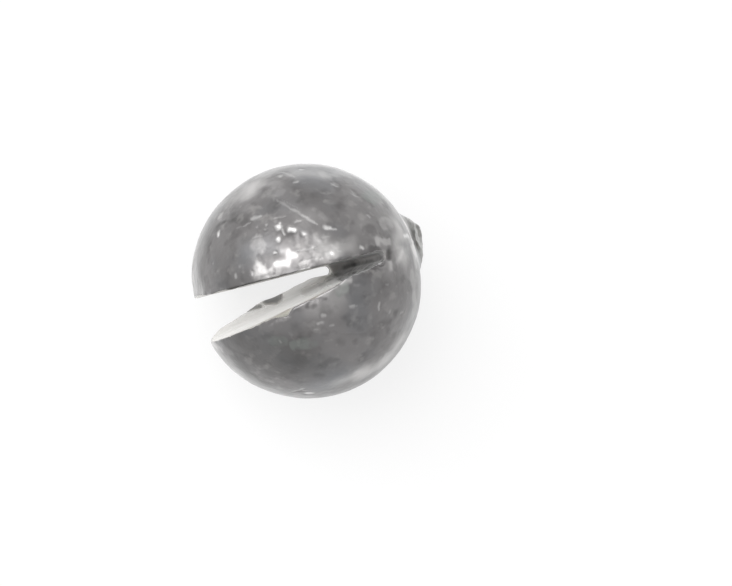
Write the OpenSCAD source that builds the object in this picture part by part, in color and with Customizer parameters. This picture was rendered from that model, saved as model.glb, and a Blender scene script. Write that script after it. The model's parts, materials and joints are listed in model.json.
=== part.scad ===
/* [Ball] */
// Diameter of the ball that is cast around the slot
ball_d = 10; // [9:0.5:13]

/* [Slot] */
// Diameter of the round groove at the bottom of the slot, in which the line lies
groove_d = 0.38; // [0.25:0.01:0.6]
// Angle between the two faces of the slot
slot_angle = 13.2; // [8:0.2:16]
// Part of that angle by which the jaws have been opened since the casting
sprung_angle = 5.2; // [0:0.2:7]

/* [Web] */
// Thickness of the hinge web, from the groove to the back of the ball
web_t = 2.58; // [2:0.02:3]
// How far the back of the web reaches past the foot of the gate stub, on each side
web_margin = 0.25; // [0.2:0.05:0.5]

/* [Gate stub] */
// Diameter of the neck of the gate
stub_d = 1.9; // [1.4:0.1:2.2]
// Height of the middle of the cut above the back of the ball
stub_h = 0.57; // [0.4:0.01:1.2]
// Radius of the fillet round the foot of the stub
foot_fillet = 0.3; // [0.15:0.05:0.4]
// Slant of the cut towards the upper end of the groove
cut_tilt = 25; // [0:1:30]
// Slant of the cut towards the fixed jaw
cut_skew = 5; // [0:1:15]

/* [Hidden] */
$fn = 96;

// How far a cutting solid runs past what it cuts
overrun = 1;

// Colours of weathered lead, and of the paler lead round the groove
dull_lead = "#7d7b7b";
pale_lead = "#a9a7a6";

// The Z axis is the axis of the groove. The slot opens towards -X, and the closing jaw lies towards +Y.
ball_r = ball_d / 2;
groove_r = groove_d / 2;
back_x = groove_r + web_t;
centre_x = back_x - ball_r;
reach = ball_d + overrun;

// The web bends about the middle of its thickness, where each half of the ball has turned a little
hinge_x = groove_r + web_t / 2;
turn = sprung_angle / 2;

// The foot of the stub, and the height of the ball's surface under its rim
stub_r = stub_d / 2;
foot_r = stub_r + foot_fillet;
foot_sink = ball_r - sqrt(ball_r * ball_r - foot_r * foot_r);

// Where the face of a jaw runs into the groove, and the direction of the web's side from there
face_angle = slot_angle / 2;
root = groove_r * [sin(face_angle), cos(face_angle)];
side = [back_x, foot_r + web_margin] - root;
side_way = side / norm(side);

// The ball as one half of it stands now. way is 1 for the closing jaw's half and -1 for the fixed jaw's.
module turned_ball(way) {
    translate([hinge_x, 0, 0])
        rotate([0, 0, -way * turn])
            translate([centre_x - hinge_x, 0, 0])
                sphere(r = ball_r);
}

// A jaw is what the face of the slot and the side of the web leave of its half of the ball
module jaw(way) {
    mouth = root + reach * [-cos(face_angle), sin(face_angle)];
    rear = root + reach * side_way;
    outline = [root, rear, [rear[0], reach], [mouth[0], reach], mouth];
    intersection() {
        turned_ball(way);
        translate([0, 0, -reach])
            linear_extrude(height = 2 * reach)
                polygon([for (p = outline) [p[0], way * p[1]]]);
    }
}

module fixed_jaw() {
    color(dull_lead) jaw(-1);
}

module closing_jaw() {
    color(dull_lead) jaw(1);
}

// The web flares from the groove to the back of the ball, and the groove is cut into its front
module hinge_web() {
    front = root - groove_r * side_way;
    rear = root + reach * side_way;
    outline = [front, rear, [rear[0], -rear[1]], [front[0], -front[1]]];
    color(pale_lead)
        difference() {
            intersection() {
                union() {
                    turned_ball(1);
                    turned_ball(-1);
                }
                translate([0, 0, -reach])
                    linear_extrude(height = 2 * reach)
                        polygon(outline);
            }
            cylinder(h = 2 * reach, r = groove_r, center = true);
        }
}

// Half section of the stub, with X across it and Y along it, and a fillet round its foot
module stub_section() {
    fillet_top = foot_fillet - foot_sink;
    difference() {
        translate([0, -ball_r / 2])
            square([foot_r, ball_r / 2 + stub_h + stub_d]);
        translate([foot_r, fillet_top])
            circle(r = foot_fillet);
        translate([stub_r, fillet_top])
            square([reach, reach]);
    }
}

// The stub of the gate through which the lead was poured, cut off at a slant
module gate_stub() {
    color(dull_lead)
        difference() {
            translate([back_x, 0, 0])
                rotate([0, 90, 0])
                    rotate_extrude()
                        stub_section();
            turned_ball(1);
            turned_ball(-1);
            translate([back_x + stub_h, 0, 0])
                rotate([0, -cut_tilt, -cut_skew])
                    translate([0, -reach, -reach])
                        cube([reach, 2 * reach, 2 * reach]);
        }
}

fixed_jaw();
closing_jaw();
hinge_web();
gate_stub();
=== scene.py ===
import json
import math
import bmesh
import bpy
import numpy as np
from mathutils import Matrix, Vector, noise


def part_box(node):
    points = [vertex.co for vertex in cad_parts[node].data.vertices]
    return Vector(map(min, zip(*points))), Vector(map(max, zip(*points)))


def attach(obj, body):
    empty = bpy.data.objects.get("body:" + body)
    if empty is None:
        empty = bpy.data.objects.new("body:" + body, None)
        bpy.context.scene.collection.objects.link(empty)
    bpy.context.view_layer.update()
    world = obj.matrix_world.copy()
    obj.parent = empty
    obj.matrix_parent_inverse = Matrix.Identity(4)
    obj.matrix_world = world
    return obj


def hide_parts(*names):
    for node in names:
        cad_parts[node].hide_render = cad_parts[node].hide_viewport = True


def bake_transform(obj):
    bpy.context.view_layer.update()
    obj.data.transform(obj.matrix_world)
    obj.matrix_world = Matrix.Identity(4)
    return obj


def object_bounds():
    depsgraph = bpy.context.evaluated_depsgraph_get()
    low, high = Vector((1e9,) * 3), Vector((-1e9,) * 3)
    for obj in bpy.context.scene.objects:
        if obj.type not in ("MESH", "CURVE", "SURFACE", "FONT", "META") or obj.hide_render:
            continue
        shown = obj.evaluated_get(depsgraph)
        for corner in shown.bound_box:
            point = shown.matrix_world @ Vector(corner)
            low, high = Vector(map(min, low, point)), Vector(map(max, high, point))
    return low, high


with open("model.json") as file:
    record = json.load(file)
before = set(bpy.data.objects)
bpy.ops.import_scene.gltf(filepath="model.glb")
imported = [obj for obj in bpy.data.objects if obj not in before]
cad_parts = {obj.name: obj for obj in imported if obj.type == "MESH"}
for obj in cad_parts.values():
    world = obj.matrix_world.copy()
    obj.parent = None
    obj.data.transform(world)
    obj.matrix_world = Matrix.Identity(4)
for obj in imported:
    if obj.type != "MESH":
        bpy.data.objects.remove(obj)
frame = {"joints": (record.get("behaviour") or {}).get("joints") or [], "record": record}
cad_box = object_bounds()

# The view of the photograph. The camera looks down on the sinker from the mouth's side of the slot,
# 17 degrees off the line groove's axis, at a macro distance of 150 mm.
MM = 0.001
PHOTO_W, PHOTO_H = 732, 586
BALL_R = 5.0
BALL_X_PX, BALL_Y_PX, BALL_R_PX = 306.5, 281.2, 113.6
VIEW_DISTANCE = 150.0
SENSOR = 36.0

to_camera = Vector((-0.2935, 0.0412, 0.9551)).normalized()
up = Vector((0.3440, 0.9367, 0.0653))
up = (up - up.dot(to_camera) * to_camera).normalized()
right = up.cross(to_camera)

# Sizes of the casting in millimetres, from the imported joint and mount
pinch = frame["joints"][0]
grip = next(m for m in frame["record"]["mounts"] if m["name"] == "line_grip")
groove_r = grip["dims"]["r_mm"]
hinge_x = pinch["pos_m"][0] / MM
back_x = 2 * hinge_x - groove_r
ball_x = back_x - BALL_R
face_angle = math.radians(pinch["range_deg"][1]) / 2

ball_centre = Vector((ball_x, 0, 0))
px_per_radian = BALL_R_PX * math.sqrt(VIEW_DISTANCE ** 2 - BALL_R ** 2) / BALL_R
px_in_mm = VIEW_DISTANCE / px_per_radian
aim = ball_centre
aim = aim + (PHOTO_W / 2 - BALL_X_PX) * px_in_mm * right
aim = aim - (PHOTO_H / 2 - BALL_Y_PX) * px_in_mm * up
eye = aim + VIEW_DISTANCE * to_camera

camera = bpy.data.objects.new("camera", bpy.data.cameras.new("camera"))
camera.data.sensor_width = SENSOR
camera.data.lens = SENSOR * px_per_radian / PHOTO_W
camera.data.clip_start = 0.01
camera.data.clip_end = 10
turn = Matrix((right, up, to_camera)).transposed().to_4x4()
camera.matrix_world = Matrix.Translation(eye * MM) @ turn
bpy.context.scene.collection.objects.link(camera)
bpy.context.scene.camera = camera

# The casting: one ball of soft lead with a V slot, poured through the gate at its back. It stays one
# skin here until its dents and scratches are in, so that its pieces meet without a step.
# SPRUNG is how far the halves stand open, and lengths are in millimetres.
SPRUNG = math.radians(5.2)
MESH_SIZE = 0.055
RIM_R = 0.07
TIP_RIM_R = 0.09
ROOT_RIM_R = 0.03
STUB_R = 0.93
STUB_CUT_H = 0.57
STUB_ROOT = 0.9
CUT_TILT = math.radians(25)
CUT_SKEW = math.radians(5)
LIP = 0.14
CUT_EDGE_R = 0.05
FOOT_FILLET = 0.35
SIDE_FILLET = 0.65
LIP_AT = (back_x + 0.8, 0.35, -0.7)
# The slot's lean, and the forms of its rim: how far each stands out, and where
LEAN = 0.17
LEAN_CREST = 0.11
BURR = 0.28
BURR_AT = (-2.75, -0.3, -4.95)
BULGE = 0.14
BULGE_PX = (347, 276)
CHIP = 0.19
CHIP_PX = (285, 314)

half_x = hinge_x + (ball_x - hinge_x) * math.cos(SPRUNG / 2)
half_y = (hinge_x - ball_x) * math.sin(SPRUNG / 2)
cut_centre = np.array((back_x + STUB_CUT_H, 0, 0))
cut_normal = np.array((math.cos(CUT_TILT) * math.cos(CUT_SKEW), -math.sin(CUT_SKEW), math.sin(CUT_TILT)))


def sight(x_px, y_px):
    """The direction in which the photograph's camera sees a pixel."""
    x_mm = (x_px - PHOTO_W / 2) * px_in_mm
    y_mm = (PHOTO_H / 2 - y_px) * px_in_mm
    return (aim + x_mm * right + y_mm * up - eye).normalized()


def on_ball(x_px, y_px):
    """The point of the ball's surface that the photograph shows at a pixel."""
    ray = sight(x_px, y_px)
    for side in (1, -1):
        centre = Vector((half_x, side * half_y, 0))
        near = (centre - eye).dot(ray)
        miss = (eye + near * ray - centre).length
        depth = math.sqrt(max(BALL_R ** 2 - miss ** 2, 0))
        hit = eye + (near - depth) * ray
        if hit.y * side > 0:
            break
    return np.array(hit)


def smooth_step(x, low, high):
    """0 below low and 1 above high, with an even start and end."""
    t = np.clip((x - low) / (high - low), 0, 1)
    return t * t * (3 - 2 * t)


def bump(p, centre, radius):
    """1 at the centre and 0 past the radius."""
    return 1 - smooth_step(np.linalg.norm(p - centre, axis=1), 0, radius)


def rounded_both(a, b, radius):
    """What two solids share, given the distances from them, with a round edge."""
    a, b = a + radius, b + radius
    return np.hypot(np.maximum(a, 0), np.maximum(b, 0)) + np.minimum(np.maximum(a, b), 0) - radius


def outside_ball(p):
    """Distance from the ball's surface, where each half of the ball stands a little apart."""
    return np.linalg.norm(np.c_[p[:, 0] - half_x, np.abs(p[:, 1]) - half_y, p[:, 2]], axis=1) - BALL_R


def slot_lean(p):
    """How far the slot leans towards the closing jaw at its lower end, where the blade drew the lead up
    into a burr, with a bulge and a chip in the fixed jaw's rim at the upper end."""
    x = -p[:, 0]
    lean = LEAN * smooth_step(x, 0, 0.7) * (1 - smooth_step(x, 5.6, 7.0))
    lean += LEAN_CREST * (1 - smooth_step(np.abs(x - 3.3), 0, 1.0))
    burr = bump(p, np.array(BURR_AT), 0.5)
    bulge = bump(p, on_ball(*BULGE_PX), 0.8)
    chip = bump(p, on_ball(*CHIP_PX), 0.5)
    return lean * smooth_step(-p[:, 2], 0, 4.5) + BURR * burr + BULGE * bulge - CHIP * chip


def outside_slot(p):
    """Distance from the faces of the slot, or from the groove at its bottom."""
    x, y = p[:, 0], np.abs(p[:, 1] - slot_lean(p))
    on_face = y * math.sin(face_angle) > x * math.cos(face_angle)
    face = x * math.sin(face_angle) + y * math.cos(face_angle)
    return np.where(on_face, face, np.hypot(x, y)) - groove_r


def above_cut(p):
    """Height above the slanted cut, which the cutters drew up into a lip at its upper far corner."""
    lip = bump(p, np.array(LIP_AT), 0.7)
    return (p - cut_centre) @ cut_normal - LIP * lip


def cut_corner(p):
    """Radius of the stub's edge, which the cutters rolled over at both ends of the cut."""
    return CUT_EDGE_R + 0.36 * smooth_step(p[:, 1], 0.1, 0.85) + 0.5 * smooth_step(-p[:, 1], 0.1, 0.9)


def outside_stub(p):
    """Distance from the gate stub: a round bar with a slanted cut, rooted in the ball."""
    side = np.hypot(p[:, 1], p[:, 2]) - STUB_R
    corner = cut_corner(p)
    return np.maximum(rounded_both(side, above_cut(p), corner), back_x - STUB_ROOT - p[:, 0])


def outside_lead(p):
    """Distance from the casting: its rims are rounded, most of all at the tips of the jaws, and the fillet
    at the stub's foot is wider off the plane of the slot."""
    rim = RIM_R + (TIP_RIM_R - RIM_R) * smooth_step(-p[:, 0], 5.5, 7.5)
    rim -= (RIM_R - ROOT_RIM_R) * smooth_step(p[:, 0], -1.2, -0.2)
    jaws = rounded_both(outside_ball(p), -outside_slot(p), rim)
    stub = outside_stub(p)
    fillet = FOOT_FILLET + SIDE_FILLET * smooth_step(np.abs(p[:, 1]), 0, 1.0)
    near = np.hypot(np.maximum(fillet - jaws, 0), np.maximum(fillet - stub, 0))
    return np.maximum(fillet, np.minimum(jaws, stub)) - near


def outward(p, step=0.01):
    """The direction straight out of the casting at each point."""
    slopes = [outside_lead(p + d) - outside_lead(p - d) for d in np.eye(3) * step]
    slope = np.stack(slopes, axis=1)
    return slope / np.maximum(np.linalg.norm(slope, axis=1, keepdims=True), 1e-9)


def link(name, mesh):
    made = bpy.data.objects.new(name, mesh)
    bpy.context.scene.collection.objects.link(made)
    return made


def solid(name, bm):
    """A new object made from a bmesh, with its faces turned outwards."""
    bmesh.ops.recalc_face_normals(bm, faces=bm.faces)
    mesh = bpy.data.meshes.new(name)
    bm.to_mesh(mesh)
    bm.free()
    return link(name, mesh)


ball_mesh = bmesh.new()
bmesh.ops.create_icosphere(ball_mesh, subdivisions=6, radius=BALL_R)
bmesh.ops.translate(ball_mesh, vec=ball_centre, verts=ball_mesh.verts)
casting = solid("casting", ball_mesh)

gate_mesh = bmesh.new()
along_x = Matrix.Rotation(math.pi / 2, 4, "Y")
place = Matrix.Translation((back_x, 0, 0)) @ along_x
bmesh.ops.create_cone(
    gate_mesh, cap_ends=True, segments=48, radius1=STUB_R, radius2=STUB_R, depth=2 * STUB_ROOT, matrix=place
)
gate = solid("gate", gate_mesh)

# The wedge is only near the slot's form, which the mesh is drawn onto below.
wedge_mesh = bmesh.new()
bmesh.ops.create_cube(wedge_mesh, size=2)
for corner in wedge_mesh.verts:
    deep = corner.co.x > 0
    corner.co.x = 0.6 * groove_r if deep else -2 * BALL_R
    corner.co.y *= 0.6 * groove_r if deep else groove_r + 2 * BALL_R * math.tan(face_angle)
    corner.co.z *= 2 * BALL_R
wedge = solid("slot_wedge", wedge_mesh)

for label, tool, how in (("gate", gate, "UNION"), ("slot", wedge, "DIFFERENCE")):
    step = casting.modifiers.new(label, "BOOLEAN")
    step.operation = how
    step.object = tool
fine = casting.modifiers.new("fine_mesh", "REMESH")
fine.mode = "VOXEL"
fine.voxel_size = MESH_SIZE

skin = bpy.data.meshes.new_from_object(casting.evaluated_get(bpy.context.evaluated_depsgraph_get()))
for helper in (casting, gate, wedge):
    bpy.data.objects.remove(helper)

# The mesh is drawn onto the rounded form, a few steps along its distance from it.
points = np.empty(len(skin.vertices) * 3)
skin.vertices.foreach_get("co", points)
points = points.reshape(-1, 3)
for _ in range(6):
    points -= outward(points) * outside_lead(points)[:, None]


# The noise takes its place in space from the clock unless it is seeded.
noise.seed_set(4)


def rough(p, size, octaves=3, seed=0):
    """Fractal noise between about -1 and 1, whose largest bumps are of the given size in millimetres."""
    shift = np.array((17.3, 5.1, 9.7)) * seed
    return np.array([noise.fractal(q, 1.0, 2.0, octaves) for q in (p / size + shift).tolist()])


def ragged(p, size, amount, seed=0):
    """The points moved about a little, which makes the outline of a mark uneven."""
    shift = np.array((3.1, 7.7, 1.3)) * seed
    return p + amount * np.array([noise.noise_vector(q) for q in (p / size + shift).tolist()])


def stroke(p, x0, y0, x1, y1, width, taper=0):
    """1 along a stroke over the ball between two pixels, and 0 past its width in millimetres. A tapered
    stroke is narrower at its ends."""
    a, b = on_ball(x0, y0), on_ball(x1, y1)
    run = b - a
    along = np.clip((p - a) @ run / max(run @ run, 1e-9), 0, 1)
    arms = (p - np.array(ball_centre), a + along[:, None] * run - np.array(ball_centre))
    here, line = (BALL_R * arm / np.linalg.norm(arm, axis=1, keepdims=True) for arm in arms)
    width = width * (1 - taper * (2 * along - 1) ** 2)
    return 1 - smooth_step(np.linalg.norm(here - line, axis=1) / width, 0, 1)


def seen_stroke(x0, y0, x1, y1, width):
    """1 along a stroke between two pixels as the photograph sees the casting, and 0 past its width."""
    run = np.array((x1 - x0, y1 - y0))
    along = np.clip((seen - (x0, y0)) @ run / max(run @ run, 1e-9), 0, 1)
    miss = np.linalg.norm(seen - (x0, y0) - along[:, None] * run, axis=1)
    return 1 - smooth_step(miss, 0.1 * width, width)


# The marks of the surface, each from end to end in pixels of the photograph.
# Dents, with their width and depth in millimetres
DENTS = (
    (264, 266, 318, 254, 1.0, 0.03), (195, 299, 196, 301, 1.8, 0.11), (232, 205, 240, 207, 0.9, 0.04),
    (254, 188, 254, 188, 0.8, 0.03), (300, 195, 318, 198, 1.4, 0.04), (345, 215, 352, 218, 1.0, 0.03),
    (218, 250, 214, 262, 1.0, 0.03), (238, 262, 234, 268, 0.7, 0.02), (366, 236, 366, 240, 0.6, 0.03),
    (322, 362, 334, 360, 1.5, 0.04), (281, 347, 276, 343, 1.0, 0.03), (362, 330, 368, 322, 1.2, 0.04),
    (392, 300, 394, 290, 1.1, 0.03), (258, 356, 262, 360, 0.9, 0.03), (345, 385, 352, 382, 1.0, 0.03),
    (374, 352, 380, 346, 1.0, 0.03), (300, 320, 306, 322, 0.7, 0.02), (363, 255, 380, 250.5, 0.3, 0.05),
    (389, 250, 389.5, 258, 0.25, 0.02), (286, 247, 330, 243, 0.5, 0.02),
    (270, 276, 300, 266, 0.35, 0.012),
)
# Nicks, with their width in millimetres and how bright they are. Their brightness is partly fresh lead and
# partly painted glints, some of them painted sparkles in the highlight.
NICKS_AND_PAINTED_GLINTS = (
    (278, 227, 279, 227.5, 0.24, 1.0), (279.5, 224, 284, 234.5, 0.1, 0.5),
    (289, 230, 294, 230.2, 0.19, 1.0), (278.5, 239.7, 279, 240, 0.17, 0.75),
    (218, 232.5, 218, 235, 0.19, 1.0), (280, 175.5, 280.5, 176.5, 0.2, 0.45),
    (300.5, 169, 302, 169.3, 0.18, 0.4), (294, 182, 297, 181.5, 0.17, 0.45),
    (325.5, 227.3, 329.5, 228, 0.2, 1.0), (330, 228.3, 335.6, 228.9, 0.11, 0.6),
    (302.5, 233.5, 304.5, 235, 0.16, 0.5), (334, 183.5, 336, 184.5, 0.28, 0.25),
    (354, 192, 355, 194, 0.28, 0.12), (368.4, 215.4, 369, 215.7, 0.19, 0.3),
    (361.3, 247, 363, 248, 0.16, 0.9), (267, 224.6, 267, 225, 0.13, 0.3),
    (257, 228, 257, 228.2, 0.14, 0.15), (265, 229.5, 265.3, 229.5, 0.15, 0.15),
    (212, 262.8, 212, 263, 0.15, 0.2), (216.5, 270.7, 216.5, 271, 0.18, 0.15),
    (239.8, 265.7, 240, 266, 0.18, 0.15), (235.6, 274.5, 235.8, 277, 0.17, 0.35),
    (252.6, 273, 252.8, 274, 0.16, 0.25), (307.5, 393.2, 311, 393.2, 0.26, 1.2),
    (293, 391.5, 303, 389, 0.14, 0.35), (300, 389.5, 306, 391, 0.11, 0.25),
    (350, 306.6, 353.5, 306.3, 0.17, 0.4), (355, 305.5, 356.5, 305.3, 0.12, 0.2),
    (379.3, 303, 379, 309, 0.13, 0.4), (322, 315.2, 324.5, 315.2, 0.16, 0.4),
    (318, 323.5, 322.5, 322.6, 0.16, 0.35), (330.5, 325.6, 333.5, 324.8, 0.14, 0.3),
    (314, 329.5, 316.5, 329.5, 0.15, 0.2), (387, 284.3, 388.5, 284.5, 0.16, 0.22),
    (390, 313, 391, 311.5, 0.15, 0.2), (401, 313, 403.5, 312.5, 0.15, 0.2),
    (354.5, 285.3, 358, 285.5, 0.18, 0.15), (280, 342, 280.4, 342.5, 0.14, 0.2),
    (325.5, 254, 331, 253.3, 0.18, 0.75), (338.5, 251, 340, 251, 0.12, 0.3),
    (404.5, 235.5, 409, 235.2, 0.22, 1.0), (274, 252.5, 276, 252.8, 0.15, 0.35),
    (383.3, 253, 383.6, 259, 0.1, 0.35), (247, 313.5, 247.5, 314, 0.15, 0.6),
)
# Scratches, with their width in millimetres and how bright they are. Some bright ones by the highlight and
# along the closing jaw's rim are painted streaks of light.
SCRATCHES_AND_PAINTED_STREAKS = (
    (276, 199.5, 290, 208, 0.15, 0.22), (290, 208, 303, 215.5, 0.16, 0.3),
    (301, 215, 317.5, 224.5, 0.14, 0.55), (281, 199, 300, 209.5, 0.08, 0.15),
    (250.5, 219, 261, 216, 0.24, 0.42), (242, 227, 250.5, 222, 0.12, 0.25),
    (236, 227.4, 242, 227, 0.11, 0.15), (274, 219, 286, 216.3, 0.12, 0.2),
    (293.5, 223, 302, 220.6, 0.14, 0.25), (281, 172, 295, 177, 0.17, 0.25),
    (320.5, 237.5, 329, 236.8, 0.13, 0.2), (340, 332.5, 366, 333, 0.12, 0.08),
    (315, 247.5, 346, 243, 0.12, 0.12), (334, 260.5, 362, 253.5, 0.1, 0.15),
    (364, 257.5, 383, 252.5, 0.1, 0.35), (253, 238, 262, 236, 0.12, 0.2),
    (296, 251, 318, 247, 0.12, 0.25), (300, 262, 322, 257.5, 0.12, 0.2),
)
# Paler parts of the oxide and painted light, with their width in millimetres and how pale. A shade below
# zero is darker, and is partly painted shade.
# The painted light: a painted highlight in and round the highlight, painted pale rims, a painted lit neck
# on the stub, and painted shade over the ball's left and lower left.
PATCHES_AND_PAINTED_LIGHT = (
    (250, 190, 259, 184, 0.75, 0.5), (235, 198, 246, 190, 0.8, 0.28), (221, 216, 222, 215, 0.45, 0.5),
    (262, 176, 272, 173, 0.5, 0.15), (277, 182, 278, 192, 0.5, 0.16), (299, 174, 319, 174, 0.7, 0.32),
    (324, 173, 342, 174, 0.55, 0.2), (268, 206, 296, 200, 1.0, -0.1), (300, 190, 326, 205, 1.1, -0.1),
    (237, 216, 245, 218, 0.5, -0.3), (216, 226.5, 223.5, 222, 0.17, -0.4),
    (223.5, 222, 239, 220.5, 0.17, -0.4), (234, 242, 236, 245, 0.45, -0.2),
    (248, 240, 250, 240, 0.35, -0.2), (212, 240, 230, 272, 1.9, -0.3), (260, 270, 273, 268, 0.6, 0.6),
    (304, 258, 326, 252, 0.9, 0.55), (262, 252, 262, 268, 0.8, 0.3), (270, 261, 310, 254, 1.3, -0.4),
    (398, 228, 404, 256, 0.8, 0.6), (366, 228, 388, 262, 0.9, 0.16), (200, 262, 204, 292, 0.7, -0.3),
    (279, 263, 287, 263, 0.3, 0.9), (289, 255, 293, 255, 0.3, 0.9), (282, 251, 288, 250, 0.25, 0.5),
    (256, 242, 262, 243, 0.45, 0.25), (263.5, 255, 264, 260, 0.35, -0.2),
    (300, 239, 325, 237, 0.9, 0.2), (326, 252, 351, 249, 0.75, 0.5),
    (370, 248.5, 379, 247.5, 0.15, -0.4), (367, 231, 379, 234, 0.5, -0.12),
    (381.5, 223, 388, 224, 0.45, 0.25), (378, 241, 391, 240.5, 0.38, 0.42),
    (324, 214, 331, 219, 0.4, 0.12), (339, 196, 352, 208, 0.9, 0.06),
    (363, 255.5, 380, 251, 0.22, -0.4), (389, 250.5, 389.3, 258, 0.19, -0.6),
    (390.5, 263, 391, 268, 0.22, 0.45), (409, 230, 414, 245, 0.7, 0.8), (412, 245, 417, 258, 0.6, 0.8),
    (399, 244, 405, 244.5, 0.3, -0.3), (403, 251, 397, 263, 0.2, 0.3), (413, 275, 414, 310, 0.55, 0.3),
    (342, 380, 362, 374, 0.8, 0.35), (362, 374, 384, 362, 0.85, 0.4), (384, 362, 400, 343, 0.8, 0.4),
    (400, 343, 410, 320, 0.7, 0.3), (240, 335, 292, 362, 2.4, -0.5), (222, 338, 240, 365, 1.2, -0.3),
    (300, 366, 335, 360, 1.4, -0.15), (356, 293, 360, 299, 0.6, -0.08),
    (338.5, 341, 343, 343.5, 0.25, -0.2), (372.5, 343, 377, 343.5, 0.3, -0.2),
    (329, 361, 336, 360.5, 0.25, -0.2), (317, 375, 322, 375.5, 0.3, -0.25),
    (348, 324.8, 350, 325, 0.15, -0.25), (313, 300.5, 325, 299, 0.14, -0.5),
    (308.5, 306.5, 313.5, 305.5, 0.18, -0.7), (291, 310, 298, 309, 0.2, -0.3),
    (213, 344, 228, 351, 0.45, 0.45), (220, 350, 226, 357.5, 0.1, -0.5),
    (342, 282, 350, 280.5, 0.2, 0.7), (333, 260.5, 352, 258, 0.15, -0.4),
    (341, 290, 345, 286, 0.45, 0.35), (318, 303, 340, 296, 0.9, 0.3), (306, 218, 322, 214, 0.8, 0.2),
    (228, 352, 262, 382, 0.8, -0.5), (412, 236, 416, 262, 0.5, 0.4), (398, 212, 406, 224, 0.4, 0.9),
    (262, 234, 284, 238, 0.5, -0.12), (330, 212, 345, 222, 0.7, -0.06),
)
# Greenish tarnish, with its width in millimetres and how strong it is
TARNISH = (
    (297, 345, 307, 343, 0.5, 0.5), (273, 342, 280, 341, 0.4, 0.35), (340, 293, 346, 286, 0.42, 0.6),
    (368, 196, 380, 196, 0.6, 0.6),
)
# Darker marks inside the slot, with their width in pixels: the fixed jaw's burr and its streaks, and
# painted shade at the root. Below zero the metal is bare, with a painted gleam of a rim catching the light.
SLOT_DARKS_AND_PAINTED_GLEAMS = (
    (267, 298, 277, 296.5, 7, 1.0), (265, 302, 276, 301.5, 3.5, 0.5), (248, 309.5, 260, 306, 3, 0.7),
    (330, 281, 338, 279, 6, 0.4), (321, 285.5, 324, 284.5, 4, 0.35), (306, 292, 316, 288, 7, 0.1),
    (345, 268, 353, 264.5, 5, 0.8), (354, 265, 372, 261, 3.5, 0.5), (332, 264, 345, 262.5, 3, -0.8),
    (365, 258, 383, 252.5, 3.5, -1.0),
)
# Painted shade along the closing jaw's rim by the root, with its width in pixels
RIM_SHADE_MARKS = (
    (330, 260.5, 352, 257.5, 1.8, 0.45), (362, 255.5, 381, 250.5, 2.2, 0.5),
    (389, 251, 389.3, 258, 3.6, 0.55),
)
# Single strokes: the strip of the root that is painted in shade, the painted shade along the closing jaw's
# rim, and the end of the cut kept clear of the dark cut face, where painted light on the neck shows
ROOT_SHADED_STRIP = (341, 281, 383, 262, 8)
RIM_SHADE_STROKE = (232, 286, 257, 280, 0.9)
CUT_CLEARED_FOR_NECK_LIGHT = (398, 211, 405, 226, 0.4)
# Where fingers have polished the lead, and the slanted edge of the crust at the root
POLISHED_PX = (288, 260)
POLISHED_R = 2.4
CRUST_FROM_PX = 326
CRUST_FULL_PX = 332.5
CRUST_SLANT = 0.65
CRUST_Y_PX = 265
# Marks wider than FINE, in millimetres, have a ragged outline, and up to BROAD it is a flaky one.
FINE = 0.3
BROAD = 0.7
# Heights in millimetres: the slow roll of the cast surface and its pebbling, the chips and shears of the
# rims, the pits at the root, the bead of the parting line, and the ridges that the cutters left
ROLL = 0.03
PEBBLES = 0.011
RIM_CHIPS = 0.03
NEAR_CHIPS = 0.11
UPPER_CHIPS = 0.05
RIM_SHEARS = 0.1
PITS = 0.13
BEAD = 0.03
RIDGES = 0.03
# Depths as shares of a mark's width
NICK_DEPTH = 0.15
SCRATCH_DEPTH = 0.1

normals = outward(points)
sunk = -outside_ball(points)
arms = points - np.array(eye)
far = -arms @ np.array(to_camera) / px_per_radian
seen = np.c_[PHOTO_W / 2 + arms @ np.array(right) / far, PHOTO_H / 2 - arms @ np.array(up) / far]
slot_gap = np.abs(outside_slot(points))
on_slot = smooth_step(sunk, 0.02, 0.14) * (1 - smooth_step(slot_gap, 0.02, 0.08))
off_slot = 1 - on_slot
uneven = ragged(points, 0.2, 0.06)
wide = ragged(ragged(points, 0.9, 0.28, 2), 0.25, 0.09, 3)
flaky = 1 + 0.9 * rough(points, 0.45, 3, 9)
polished = bump(points, on_ball(*POLISHED_PX), POLISHED_R)
height = ROLL * rough(points, 3.5, 2) * (1 - 0.8 * polished) + PEBBLES * rough(points, 0.8, 3, 1)
for x0, y0, x1, y1, width, depth in DENTS:
    height -= depth * stroke(wide if width > FINE else uneven, x0, y0, x1, y1, width) * off_slot
# Bright wear and painted glints of the light share this mask.
wear_and_painted_glints = np.zeros(len(points))
for x0, y0, x1, y1, width, bright in NICKS_AND_PAINTED_GLINTS:
    mark = stroke(uneven, x0, y0, x1, y1, width) ** 1.6 * off_slot
    height -= NICK_DEPTH * width * mark
    wear_and_painted_glints = np.maximum(wear_and_painted_glints, bright * mark)
for x0, y0, x1, y1, width, bright in SCRATCHES_AND_PAINTED_STREAKS:
    mark = stroke(uneven, x0, y0, x1, y1, width, 0.5) ** 1.4 * off_slot
    height -= SCRATCH_DEPTH * width * mark
    wear_and_painted_glints = np.maximum(wear_and_painted_glints, bright * mark)
# The oxide's patches and the painted light and shade add into one tone.
tone_and_painted_light = np.zeros(len(points))
for x0, y0, x1, y1, width, amount in PATCHES_AND_PAINTED_LIGHT:
    mark = stroke(wide if width > FINE else uneven, x0, y0, x1, y1, width)
    tone_and_painted_light += amount * (smooth_step(mark * flaky, 0.1, 0.8) if FINE < width < BROAD else mark)
tarnish = np.zeros(len(points))
for x0, y0, x1, y1, width, amount in TARNISH:
    mark = stroke(wide, x0, y0, x1, y1, width)
    tarnish = np.maximum(tarnish, amount * smooth_step(mark * flaky, 0.1, 0.7))

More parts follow.
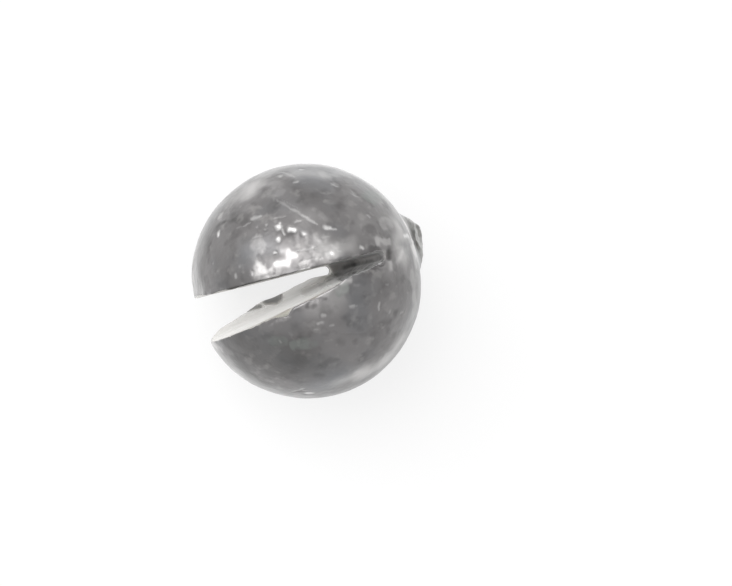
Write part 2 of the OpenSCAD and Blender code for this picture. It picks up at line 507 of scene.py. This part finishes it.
# Shears and chips along the rims of the slot, coarser on the fixed jaw
near_rim = 1 - smooth_step(np.hypot(sunk, slot_gap), 0.05, 0.35)
chips = np.maximum(rough(points, 0.7, 3, 2), 0)
lower_chips = RIM_CHIPS + NEAR_CHIPS * smooth_step(points[:, 2], -1, 1)
height -= near_rim * chips * np.where(points[:, 1] < 0, lower_chips, UPPER_CHIPS)
height -= near_rim * RIM_SHEARS * np.maximum(rough(points, 1.5, 2, 7), 0)

# The root of the slot is rough with a crust of oxide
from_mouth = seen[:, 0] - CRUST_SLANT * (seen[:, 1] - CRUST_Y_PX)
crusted = smooth_step(from_mouth, CRUST_FROM_PX, CRUST_FULL_PX) * smooth_step(points[:, 0], -4, -2.5)
root = crusted * smooth_step(sunk, 0.0, 0.07) * (1 - smooth_step(slot_gap, 0.02, 0.08))
pits = 0.5 + 0.5 * rough(points * (1, 1, 0.6), 0.35, 3, 5)
height -= PITS * root * (1 - smooth_step(points[:, 0], -0.3, 0.1)) * np.clip(pits, 0, 1)

# The mould's parting line: a low bead on the plane of the slot, over the web
bead = (1 - smooth_step(np.abs(points[:, 1]), 0.0, 0.09)) * smooth_step(points[:, 0], 0.25, 0.6)
bead *= smooth_step(np.hypot(points[:, 1], points[:, 2]), STUB_R, 1.4)
height += BEAD * bead * off_slot

# The cutters left fine ridges across the slanted face of the stub
on_cut = smooth_step(above_cut(points) + 0.6 * cut_corner(points), -0.03, 0.02)
on_cut *= smooth_step(points[:, 0], back_x - 0.05, back_x + 0.05)
ridges = rough(points * (1, 3, 0.5), 0.5, 3, 4)
height += RIDGES * ridges * on_cut
points += normals * height[:, None]

skin.vertices.foreach_set("co", points.ravel())

# A thin crust darkens the root of the slot. Painted shade darkens the root's strip and recess and the
# closing jaw's rim, and the fixed jaw's burr is darker too.
# Painted shade along the closing jaw's rim, where its rounded edge faces down, strongest towards the mouth
rim_painted_shade = (1 - smooth_step(slot_gap, 0.03, 0.09)) * (points[:, 1] > 0)
rim_painted_shade = rim_painted_shade * (1 - smooth_step(sunk, 0.25, 0.6))
rim_painted_shade *= 0.3 + 0.7 * stroke(wide, *RIM_SHADE_STROKE)
root_shaded_strip = seen_stroke(*ROOT_SHADED_STRIP)
# The deep root, in real shade, is painted paler: painted light.
tone_and_painted_light += 0.6 * root * (1 - root_shaded_strip)
crust_and_painted_shade = root * (0.05 + 0.5 * root_shaded_strip)
in_slot = (1 - smooth_step(slot_gap, 0.04, 0.12)) * (sunk > -0.05)
bared = np.zeros(len(points))
# Painted shade at the root, the darker burr, and below zero a painted gleam on bare metal
for x0, y0, x1, y1, width, amount in SLOT_DARKS_AND_PAINTED_GLEAMS:
    mark = in_slot * seen_stroke(x0, y0, x1, y1, width)
    crust_and_painted_shade += max(amount, 0) * mark
    wear_and_painted_glints = np.maximum(wear_and_painted_glints, -0.5 * amount * mark)
    bared = np.maximum(bared, -amount * mark)
toward = smooth_step(normals @ np.array(to_camera), 0, 0.3)
# Painted shade by the root, on what faces the camera
for x0, y0, x1, y1, width, amount in RIM_SHADE_MARKS:
    crust_and_painted_shade = np.maximum(crust_and_painted_shade, amount * toward * seen_stroke(x0, y0, x1, y1, width))
MARKS_AND_PAINTED_LIGHT = {
    "wear_and_painted_glints": wear_and_painted_glints,
    "tone_and_painted_light": tone_and_painted_light,
    "tarnish": tarnish,
    "slot_face": on_slot * (1 - crusted),
    "polished": polished,
    "crust_and_painted_shade": np.clip(np.maximum(crust_and_painted_shade, rim_painted_shade), 0, 1),
    # The dark cut face stops short at the end where painted light on the stub's neck shows
    "cut_face": on_cut * (1 - stroke(wide, *CUT_CLEARED_FOR_NECK_LIGHT)),
    "matt": np.clip(np.maximum(2 * crust_and_painted_shade, root) - bared, 0, 1),
}
for label, values in MARKS_AND_PAINTED_LIGHT.items():
    skin.attributes.new(label, "FLOAT", "POINT").data.foreach_set("value", values.astype(np.float32))
skin.update()


# Weathered cast lead: soft grey metal under a dull oxide, blotched where it was handled.
# It gives the eye a mid-grey ball with a broad soft highlight, pale rims and bright nicks, all partly
# painted into its colour.
def linear(hex_colour):
    """An sRGB colour as the linear one that a shader takes."""
    parts = [int(hex_colour[i:i + 2], 16) / 255 for i in (1, 3, 5)]
    return [c / 12.92 if c <= 0.04045 else ((c + 0.055) / 1.055) ** 2.4 for c in parts] + [1]


def add(tree, kind, links=(), **settings):
    """Adds a shader node, sets what is named, and links or fills its sockets."""
    made = tree.nodes.new("ShaderNode" + kind)
    for label, value in settings.items():
        setattr(made, label, value)
    for socket, value in dict(links).items():
        if isinstance(value, bpy.types.NodeSocket):
            tree.links.new(value, made.inputs[socket])
        else:
            made.inputs[socket].default_value = value
    return made


def new_material(name):
    made = bpy.data.materials.new(name)
    made.use_nodes = True
    made.node_tree.nodes.clear()
    return made, made.node_tree


def per_metre(size_mm):
    """The scale that gives a noise texture bumps of this size."""
    return 1 / (size_mm * MM)


weathered_lead, tree = new_material("weathered_cast_lead")
place = add(tree, "TexCoord").outputs["Object"]
mark = {name: add(tree, "Attribute", attribute_name=name).outputs["Fac"] for name in MARKS_AND_PAINTED_LIGHT}
# The casting's grain, in millimetres, is drawn coarser than it is so that it shows.
CAST_GRAIN = 0.16
GRAIN_HEIGHT = 0.03
# Sizes in millimetres, with detail: blotches of oxide from 2.6 to 0.5, patches on the slot's faces 1.2,
# uneven gloss 0.7, and the grain
noises = ((1.9, 2.0), (0.8, 2.0), (0.5, 2.0), (2.6, 2.0), (1.2, 3.0), (0.7, 4.0), (CAST_GRAIN, 4.0))
mottle = {}
for size_mm, detail in noises:
    settings = {"Vector": place, "Scale": per_metre(size_mm), "Detail": detail}
    mottle[size_mm] = add(tree, "TexNoise", settings).outputs["Fac"]
# Below zero the tone darkens, as darker oxide and as painted shade.
darker_tone_and_painted_shade = add(tree, "Math", {0: mark["tone_and_painted_light"], 1: -1.0}, operation="MULTIPLY").outputs[0]
# The slot's faces are pale, partly the cut lead and partly a painted reflection of the white table.
face_tone_and_painted_reflection = add(tree, "Mix", {0: mottle[1.2], 6: linear("#d6c8c3"), 7: linear("#c9d0c6")}, data_type="RGBA")
# From the oxide up: what masks a layer, where the mask starts and is full, and the layer's colour
LAYERS = (
    (mottle[1.9], 0.35, 0.65, "#7c7a7a"),
    (mottle[0.8], 0.52, 0.7, "#5c5a5a"),
    (mottle[0.5], 0.56, 0.72, "#858382"),
    (mottle[2.6], 0.5, 0.85, "#75777a"),
    # These two layers paint light and shade as well as the oxide's paler and darker patches.
    (mark["tone_and_painted_light"], 0.0, 1.0, "#c8c6c5"),
    (darker_tone_and_painted_shade, 0.0, 1.0, "#343332"),
    (mark["tarnish"], 0.0, 1.4, "#78807b"),
    # The slot's faces, with their painted reflection
    (mark["slot_face"], 0.0, 1.0, face_tone_and_painted_reflection.outputs[2]),
    # The crust, with painted shade at the root and along the closing jaw's rim
    (mark["crust_and_painted_shade"], 0.0, 1.0, "#2b2926"),
    # Bright wear, with painted glints and gleams
    (mark["wear_and_painted_glints"], 0.05, 1.2, "#e0dfde"),
)
tone = linear("#6a6868")
for mask, low, high, colour in LAYERS:
    share = add(tree, "MapRange", {"Value": mask, "From Min": low, "From Max": high})
    above = linear(colour) if isinstance(colour, str) else colour
    tone = add(tree, "Mix", {0: share.outputs[0], 6: tone, 7: above}, data_type="RGBA").outputs[2]
# The oxide is half way to a metal, the handled part and the slot's faces are smoother, and the crust and
# painted shade are matt.
OXIDE_METALLIC = 0.55
HANDLED_ROUGHNESS = 0.36
FACE_ROUGHNESS = 0.24
CRUST_ROUGHNESS = 0.85
uneven_gloss = {"Value": mottle[0.7], "From Min": 0.3, "From Max": 0.75, "To Min": 0.34, "To Max": 0.48}
roughness = add(tree, "MapRange", uneven_gloss)
handled = add(tree, "Mix", {0: mark["polished"], 2: roughness.outputs[0], 3: HANDLED_ROUGHNESS})
smoother = add(tree, "Mix", {0: mark["slot_face"], 2: handled.outputs[0], 3: FACE_ROUGHNESS})
crusted = add(tree, "Mix", {0: mark["matt"], 2: smoother.outputs[0], 3: CRUST_ROUGHNESS})
metallic = add(tree, "Mix", {0: mark["matt"], 2: OXIDE_METALLIC, 3: 0.0})
relief = add(tree, "Mix", {0: mark["slot_face"], 2: 0.25, 3: 0.06})
grain = {"Height": mottle[CAST_GRAIN], "Strength": relief.outputs[0], "Distance": GRAIN_HEIGHT * MM}
bumps = add(tree, "Bump", grain)
# The oxide is powdery, so it is a little paler at a glancing angle, which the sheen gives.
metal = add(tree, "BsdfPrincipled", {
    "Base Color": tone,
    "Metallic": metallic.outputs[0],
    "Roughness": crusted.outputs[0],
    "Sheen Weight": 0.6,
    "Sheen Roughness": 0.4,
    "Normal": bumps.outputs["Normal"],
})
add(tree, "OutputMaterial", {"Surface": metal.outputs["BSDF"]})

# The planes that part the casting into its pieces: the two sides of the web, and the foot of the stub
foot = groove_r * Vector((math.sin(face_angle), math.cos(face_angle), 0))
web_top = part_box("hinge_web")[1]
web_side = (Vector((back_x, web_top.y / MM, 0)) - foot).normalized()
STUB_SEAM = back_x - 0.1
upper_side = (foot, Vector((web_side.y, -web_side.x, 0)))
lower_side = (Vector((foot.x, -foot.y, 0)), Vector((web_side.y, web_side.x, 0)))
stub_seam = (Vector((STUB_SEAM, 0, 0)), Vector((1, 0, 0)))
PLUG_TAPER = 0.96


def part_of_casting(name, cuts, plug=0):
    """The casting on the inner side of each plane, closed where it was cut. A plug of the given length
    reaches from the cut into the next piece."""
    bm = bmesh.new()
    bm.from_mesh(skin)
    for face in bm.faces:
        face.smooth = True
    for point, away in cuts:
        everything = bm.verts[:] + bm.edges[:] + bm.faces[:]
        bmesh.ops.bisect_plane(
            bm, geom=everything, dist=1e-7, plane_co=point, plane_no=away, clear_outer=True
        )
        open_edges = [e for e in bm.edges if e.is_boundary]
        for edge in open_edges:
            edge.smooth = False
        if plug:
            drawn = bmesh.ops.extrude_edge_only(bm, edges=open_edges)["geom"]
            rim = [v for v in drawn if isinstance(v, bmesh.types.BMVert)]
            bmesh.ops.scale(bm, vec=Vector((1, PLUG_TAPER, PLUG_TAPER)), verts=rim)
            bmesh.ops.translate(bm, vec=Vector((-plug, 0, 0)), verts=rim)
            open_edges = [e for e in bm.edges if e.is_boundary]
        bmesh.ops.holes_fill(bm, edges=open_edges, sides=0)
    bmesh.ops.recalc_face_normals(bm, faces=bm.faces)
    bmesh.ops.scale(bm, vec=Vector((MM, MM, MM)), verts=bm.verts)
    mesh = bpy.data.meshes.new(name)
    bm.to_mesh(mesh)
    bm.free()
    return link(name, mesh)


def turned_over(cut):
    """The same plane with its other side kept."""
    return (cut[0], -cut[1])


# The fixed jaw: the half of the ball below the slot, of the same soft cast lead as the rest.
# Nothing fastens it, because it runs on into the web. The mould's blade left its rim ragged, with a
# smooth face above it.
above_mid_plane = (Vector((0, 0, 0)), Vector((0, 1, 0)))
lower = part_of_casting("fixed_jaw_skin", [above_mid_plane, lower_side, stub_seam])
lower.data.materials.append(weathered_lead)
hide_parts("fixed_jaw")
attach(lower, "fixed_half")

# The closing jaw: the half above the slot, which fingers or pliers pinch down on the line.
# It is the same cast lead and runs on into the web too. Where it was handled, it is scratched,
# nicked and polished.
upper = part_of_casting("closing_jaw_skin", [turned_over(above_mid_plane), upper_side, stub_seam])
upper.data.materials.append(weathered_lead)
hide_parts("closing_jaw")
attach(upper, "closing_half")

# The hinge web: the lead left behind the slot, with the groove for the line along its inner side.
# It was cast in one with both jaws and bends for good when they are pinched or opened.
web = part_of_casting("hinge_web_skin", [turned_over(upper_side), turned_over(lower_side), stub_seam])
web.data.materials.append(weathered_lead)
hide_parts("hinge_web")
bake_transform(web)

# The gate stub: what the cutters left of the gate that the lead was poured through.
# It was nipped off at a slant, and to the eye the sheared lead is ridged, dark and greenish.
# It stands on the outside of the web, which stretches when the jaws close.
stub = part_of_casting("gate_stub_skin", [turned_over(stub_seam)], plug=0.5)
TARNISH_PATCH = 0.5
cut_lead = weathered_lead.copy()
cut_lead.name = "sheared_tarnished_lead"
tree = cut_lead.node_tree
metal = tree.nodes["Principled BSDF"]
neck_tone = metal.inputs["Base Color"].links[0].from_socket
place = tree.nodes["Texture Coordinate"].outputs["Object"]
cut_here = add(tree, "Attribute", attribute_name="cut_face").outputs["Fac"]
tarnished = {"Vector": place, "Scale": per_metre(TARNISH_PATCH), "Detail": 3.0}
streaks = add(tree, "TexNoise", tarnished).outputs["Fac"]
share = add(tree, "MapRange", {"Value": streaks, "From Min": 0.35, "From Max": 0.7}).outputs[0]
shades = {0: share, 6: linear("#33342d"), 7: linear("#66655e")}
cut_tone = add(tree, "Mix", shades, data_type="RGBA").outputs[2]
tone = add(tree, "Mix", {0: cut_here, 6: neck_tone, 7: cut_tone}, data_type="RGBA").outputs[2]
tree.links.new(tone, metal.inputs["Base Color"])
stub.data.materials.append(cut_lead)
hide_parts("gate_stub")
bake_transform(stub)

# The table: a plain white sheet that the sinker lies on, evenly lit, with its soft shadow.
# To the camera and in the lead's gloss it is mostly plain white, so the shadow stays faint.
TABLE_SIZE = 400.0
TABLE_GLOW = 0.8
table_mesh = bmesh.new()
bmesh.ops.create_grid(table_mesh, x_segments=1, y_segments=1, size=TABLE_SIZE / 2 * MM)
bmesh.ops.translate(table_mesh, vec=Vector((0, 0, cad_box[0].z)), verts=table_mesh.verts)
table = solid("table", table_mesh)


def seen_directly(tree):
    """1 for what the camera sees straight, in gloss or through glass, and 0 for the light of the room."""
    path = add(tree, "LightPath")
    rays = {0: path.outputs["Is Camera Ray"], 1: path.outputs["Is Glossy Ray"]}
    direct = add(tree, "Math", rays, operation="MAXIMUM")
    clear = {0: direct.outputs[0], 1: path.outputs["Is Transmission Ray"]}
    return add(tree, "Math", clear, operation="MAXIMUM").outputs[0]


white_sheet, tree = new_material("white_sheet")
paper = add(tree, "BsdfDiffuse", {"Color": linear("#f4f4f4")})
glow = add(tree, "Emission", {"Color": (1, 1, 1, 1), "Strength": 1.0})
share = add(tree, "Math", {0: seen_directly(tree), 1: TABLE_GLOW}, operation="MULTIPLY")
sheet = add(tree, "MixShader", {0: share.outputs[0], 1: paper.outputs[0], 2: glow.outputs[0]})
add(tree, "OutputMaterial", {"Surface": sheet.outputs[0]})
table.data.materials.append(white_sheet)

# Studio light: a soft box up and to the left of the camera, and an even pale room.
KEY_DISTANCE = 300.0
KEY_SIZE = 270.0
KEY_WATTS = 0.95
ROOM_LIGHT = 0.6
key_way = (-0.31 * right + 0.32 * up + 0.9 * to_camera).normalized()
key = bpy.data.objects.new("key", bpy.data.lights.new("key", "AREA"))
key.data.shape = "DISK"
key.data.size = KEY_SIZE * MM
key.data.energy = KEY_WATTS
key.location = (ball_centre + KEY_DISTANCE * key_way) * MM
key.rotation_mode = "QUATERNION"
key.rotation_quaternion = key_way.to_track_quat("Z", "Y")
bpy.context.scene.collection.objects.link(key)

world = bpy.data.worlds.new("room")
bpy.context.scene.world = world
world.use_nodes = True
tree = world.node_tree
tree.nodes.clear()
ceiling = add(tree, "SeparateXYZ", {0: add(tree, "TexCoord").outputs["Generated"]}).outputs["Z"]
ends = {"Value": ceiling, "From Min": 0.1, "From Max": 0.95, "To Min": 1.0, "To Max": 0.5}
paleness = add(tree, "MapRange", ends, interpolation_type="SMOOTHSTEP").outputs[0]
room = add(tree, "Background", {"Color": (1, 1, 1, 1), "Strength": ROOM_LIGHT})
backdrop = add(tree, "Background", {"Color": (1, 1, 1, 1), "Strength": paleness})
mixed = add(tree, "MixShader", {0: seen_directly(tree), 1: room.outputs[0], 2: backdrop.outputs[0]})
add(tree, "OutputWorld", {"Surface": mixed.outputs[0]})

scene = bpy.context.scene
scene.view_settings.view_transform = "Standard"
